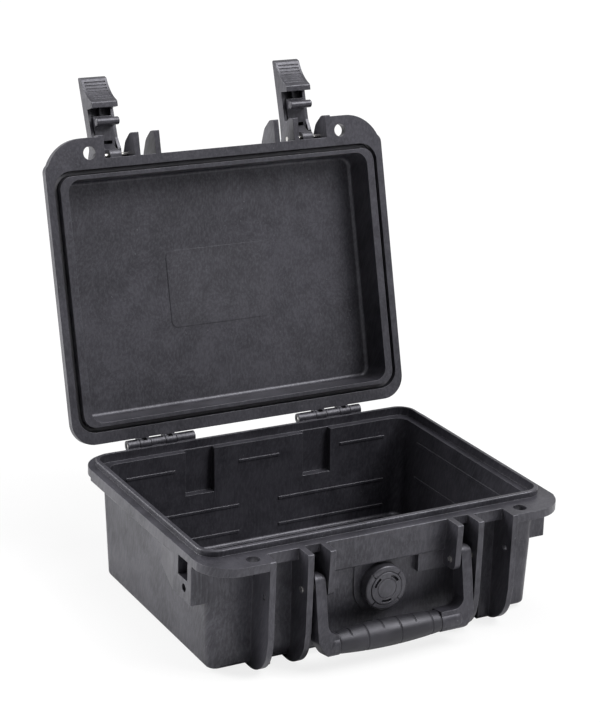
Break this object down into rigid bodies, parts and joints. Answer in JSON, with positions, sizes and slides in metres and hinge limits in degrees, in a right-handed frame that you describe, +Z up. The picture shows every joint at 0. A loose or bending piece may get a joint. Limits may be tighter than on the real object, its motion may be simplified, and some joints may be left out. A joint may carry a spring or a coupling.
{
  "type": "waterproof hard case",
  "caption": "Small hinged waterproof hard case, open, with a tray-like lid, draw latches standing up from it, a folding carry handle and a pressure valve on the front.",
  "frame": {"origin": "centre of the base, on the plane that the case stands on", "axes": "+X to the right seen from the front, -Y to the front with the handle, +Z up; the lid is open at 104.64 degrees about the hinge line at the back"},
  "size_m": [0.232, 0.2855, 0.2871],
  "materials": {
    "shell": "satin, finely mottled moulded plastic with light scuffs",
    "latch": "satin moulded plastic",
    "handle": "satin moulded plastic",
    "valve": "satin moulded plastic",
    "grip": "soft, slightly shiny",
    "gasket": "soft and dull",
    "pin": "bright drawn pin",
    "membrane": "dull breathing film"
  },
  "bodies": {
    "base": {"lower_shell": "shell", "hinge_pin_left": "pin", "hinge_pin_right": "pin", "handle_pin_left": "pin", "handle_pin_right": "pin", "valve_body": "valve", "valve_cap": "valve", "valve_seal": "gasket", "valve_membrane": "membrane"},
    "lid": {"lid_shell": "shell", "lid_gasket": "gasket", "latch_pin_left": "pin", "latch_pin_right": "pin"},
    "lever_left": {"latch_lever_left": "latch", "hook_pin_left": "pin"},
    "lever_right": {"latch_lever_right": "latch", "hook_pin_right": "pin"},
    "hook_left": {"latch_hook_left": "latch"},
    "hook_right": {"latch_hook_right": "latch"},
    "handle": {"handle_frame": "handle", "handle_grip": "grip"}
  },
  "joints": [
    {"name": "lid_hinge", "type": "hinge", "parent": "base", "child": "lid", "pos_m": [0, 0.0906, 0.0735], "axis": [1, 0, 0], "range_deg": [0, 104.64]},
    {"name": "latch_left_swing", "type": "hinge", "parent": "lid", "child": "lever_left", "pos_m": [-0.06665, 0.14518, 0.24249], "axis": [1, 0, 0], "range_deg": [0, 95.5]},
    {"name": "latch_right_swing", "type": "hinge", "parent": "lid", "child": "lever_right", "pos_m": [0.06665, 0.14518, 0.24249], "axis": [1, 0, 0], "range_deg": [0, 90.7]},
    {"name": "hook_left_fold", "type": "hinge", "parent": "lever_left", "child": "hook_left", "pos_m": [-0.06665, 0.14452, 0.23837], "axis": [1, 0, 0], "range_deg": [0, 12.01]},
    {"name": "hook_right_fold", "type": "hinge", "parent": "lever_right", "child": "hook_right", "pos_m": [0.06665, 0.14487, 0.23833], "axis": [1, 0, 0], "range_deg": [0, 12.01]},
    {"name": "handle_swing", "type": "hinge", "parent": "base", "child": "handle", "pos_m": [0, -0.0908, 0.0495], "axis": [-1, 0, 0], "range_deg": [0, 120]}
  ],
  "couplings": [
    {"joint": "hook_left_fold", "follows": "latch_left_swing", "ratio": 0.12565},
    {"joint": "hook_right_fold", "follows": "latch_right_swing", "ratio": 0.1323}
  ]
}
